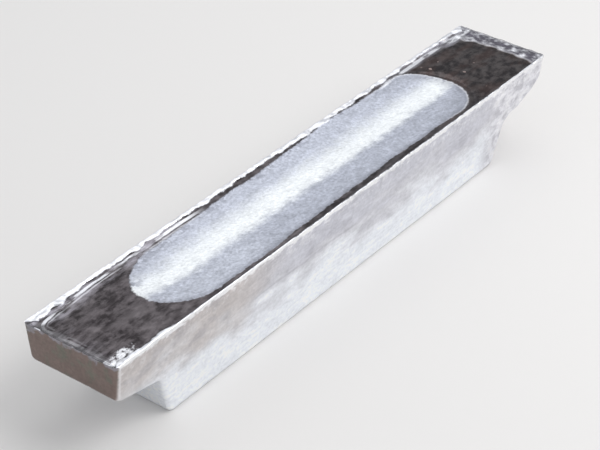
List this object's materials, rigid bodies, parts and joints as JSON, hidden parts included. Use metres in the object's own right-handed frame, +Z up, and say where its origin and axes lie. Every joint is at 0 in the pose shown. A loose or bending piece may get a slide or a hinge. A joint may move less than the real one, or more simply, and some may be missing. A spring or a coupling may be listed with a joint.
{
  "type": "lead ingot",
  "caption": "Long cast lead ingot with drafted sides, a lifting ear at each end and a frosted shrinkage hollow in its pour face.",
  "frame": {"origin": "centre of the bounding box on the floor, under the middle of the flat base", "axes": "+X along the ingot to the thin-tipped ear, +Y across it, +Z up through the pour face"},
  "size_m": [0.48, 0.0768, 0.0715],
  "materials": {
    "lead": "as-cast soft lead, satin on the mould faces, frosted and mirror-smooth on the pour face"
  },
  "bodies": {
    "root": {"ingot": "lead"}
  },
  "joints": []
}
